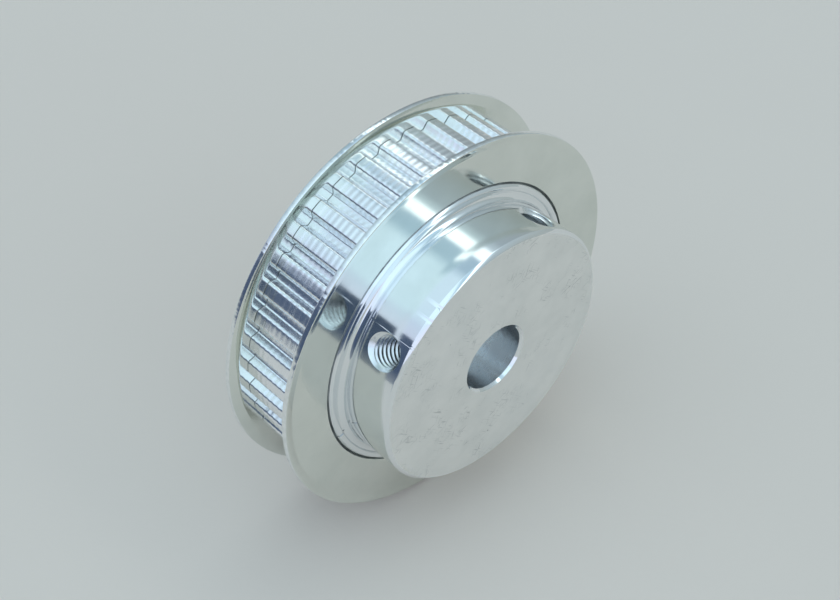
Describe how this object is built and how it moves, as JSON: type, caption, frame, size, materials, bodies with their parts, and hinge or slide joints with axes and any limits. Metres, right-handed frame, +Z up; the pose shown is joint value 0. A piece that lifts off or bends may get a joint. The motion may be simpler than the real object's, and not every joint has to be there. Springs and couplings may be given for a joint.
{
  "type": "timing belt pulley",
  "caption": "Flanged timing belt pulley with a hub, a round shaft bore and radial set screws that clamp it to the shaft.",
  "frame": {"origin": "on the pulley's axis, in the middle of the toothed face between the two flanges", "axes": "+Z up with the pulley standing on its flange rims, Y along the axis with the hub towards -Y, X across"},
  "size_m": [0.071, 0.0249, 0.071],
  "materials": {
    "turned_aluminium": "bright turned aluminium with fine tool marks",
    "plated_sheet_steel": "bright zinc-plated sheet steel",
    "screw_steel": "dark alloy steel, lightly oiled"
  },
  "bodies": {
    "pulley": {"pulley_body": "turned_aluminium", "front_flange": "plated_sheet_steel", "rear_flange": "plated_sheet_steel"},
    "set_screw_a": {"set_screw_a": "screw_steel"},
    "set_screw_b": {"set_screw_b": "screw_steel"}
  },
  "joints": [
    {"name": "set_screw_a_slide", "type": "slide", "parent": "pulley", "child": "set_screw_a", "axis": [0.8434, 0, -0.5373], "range_m": [-0.015, 0.001]},
    {"name": "set_screw_b_slide", "type": "slide", "parent": "pulley", "child": "set_screw_b", "axis": [-0.5373, 0, -0.8434], "range_m": [-0.015, 0.001]}
  ]
}
